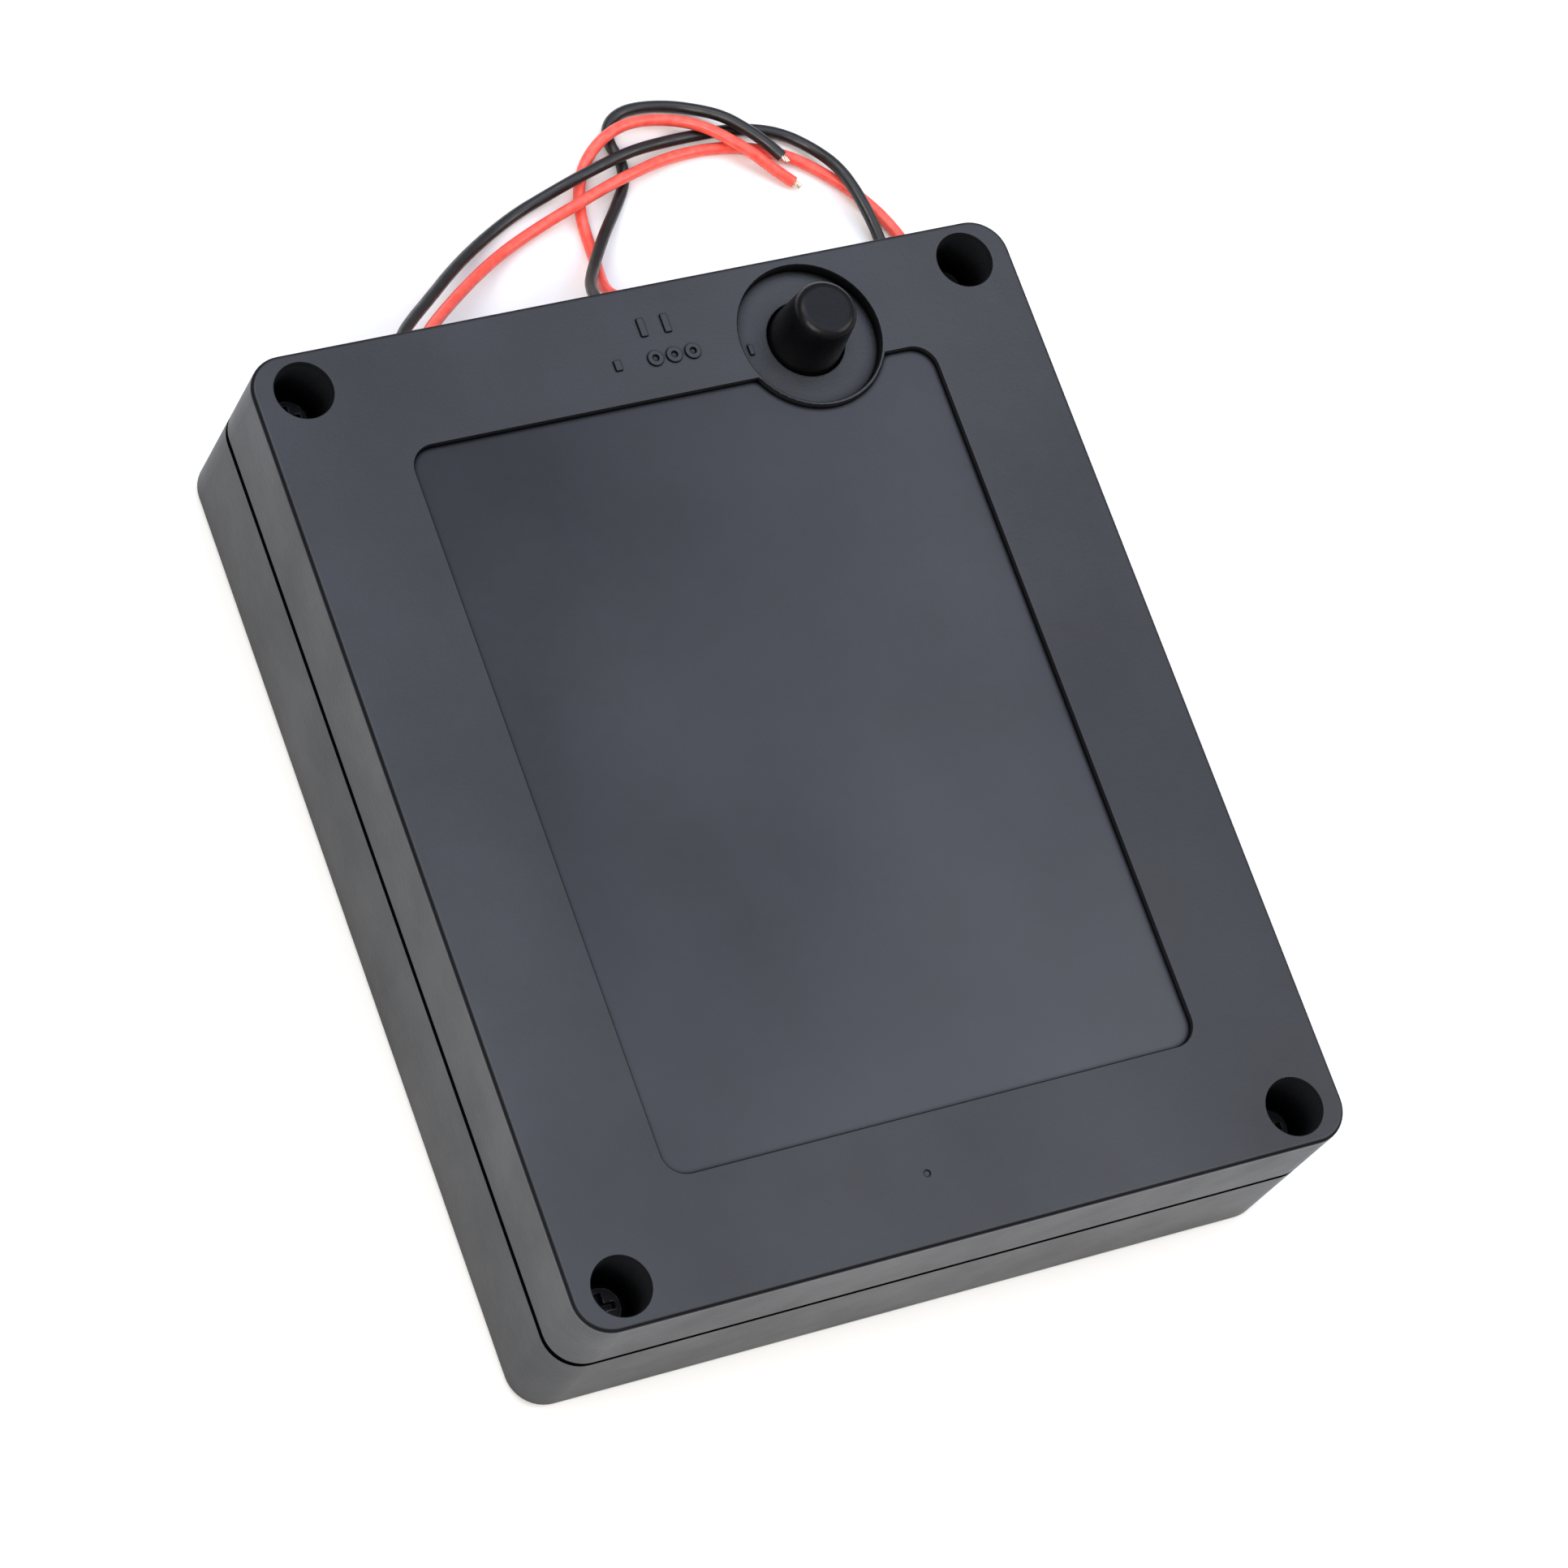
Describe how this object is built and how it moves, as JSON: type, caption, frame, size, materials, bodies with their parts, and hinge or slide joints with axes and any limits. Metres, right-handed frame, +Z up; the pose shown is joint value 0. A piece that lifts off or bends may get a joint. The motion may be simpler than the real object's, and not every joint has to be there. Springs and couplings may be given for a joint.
{
  "type": "fence energizer",
  "caption": "Flat two-shell moulded case with a push button in a sunk ring, a blank label panel and red and black leads from its rear wall.",
  "frame": {"origin": "centre of the case's flat base", "axes": "+X right, +Y towards the rear wall where the leads leave, +Z up through the push button"},
  "size_m": [0.1077, 0.1664, 0.0369],
  "materials": {
    "case_plastic": "fine moulded texture, slate black",
    "seal_rubber": "matt",
    "black_steel": "black oxide",
    "button_plastic": "satin black",
    "white_plastic": "natural nylon",
    "spring_steel": "drawn wire",
    "black_plastic": "moulded",
    "board_laminate": "solder resist",
    "zinc_steel": "zinc plated",
    "core_iron": "laminated",
    "winding_copper": "enamelled wire",
    "capacitor_resin": "resin box",
    "capacitor_sleeve": "shrink sleeve",
    "sink_aluminium": "extruded",
    "resistor_ceramic": "coated",
    "fuse_glass": "clear",
    "clip_brass": "sprung",
    "grommet_rubber": "matt",
    "connector_plastic": "moulded",
    "lead_black": "soft vinyl insulation",
    "lead_red": "soft vinyl insulation",
    "tinned_copper": "tinned strands"
  },
  "bodies": {
    "case": {"bottom_case": "case_plastic", "top_cover": "case_plastic", "case_seal": "seal_rubber", "cover_screws": "black_steel", "switch_spring": "spring_steel", "switch_housing": "black_plastic", "switch_base": "black_plastic", "circuit_board": "board_laminate", "board_screws": "zinc_steel", "pulse_transformer_core": "core_iron", "pulse_transformer_former": "black_plastic", "pulse_transformer_winding": "winding_copper", "inverter_transformer_core": "core_iron", "inverter_transformer_former": "black_plastic", "inverter_transformer_winding": "winding_copper", "storage_capacitor": "capacitor_resin", "smoothing_capacitors": "capacitor_sleeve", "heat_sink": "sink_aluminium", "discharge_thyristor": "black_plastic", "heat_sink_screw": "zinc_steel", "inverter_transistor": "black_plastic", "rectifier_diodes": "black_plastic", "resistors": "resistor_ceramic", "polarity_diode": "black_plastic", "surge_arrester": "resistor_ceramic", "input_fuse": "fuse_glass", "fuse_caps": "zinc_steel", "fuse_clips": "clip_brass", "controller_chip": "black_plastic", "output_grommet": "grommet_rubber", "input_grommet": "grommet_rubber", "output_tie": "white_plastic", "input_tie": "white_plastic", "output_connector": "connector_plastic", "input_connector": "connector_plastic", "connector_screws": "zinc_steel", "output_lead_black_inner": "lead_black", "output_lead_black": "lead_black", "output_lead_black_tip": "tinned_copper", "output_lead_red_inner": "lead_red", "output_lead_red": "lead_red", "output_lead_red_tip": "tinned_copper", "input_lead_black_inner": "lead_black", "input_lead_black": "lead_black", "input_lead_black_tip": "tinned_copper", "input_lead_red_inner": "lead_red", "input_lead_red": "lead_red", "input_lead_red_tip": "tinned_copper"},
    "button": {"switch_button": "button_plastic", "switch_plunger": "white_plastic"}
  },
  "joints": [
    {"name": "button_press", "type": "slide", "parent": "case", "child": "button", "axis": [0, 0, -1], "range_m": [0, 0.0025], "stiffness_N_per_m": 900, "springref_m": -0.001, "deforming": ["switch_spring"]}
  ]
}
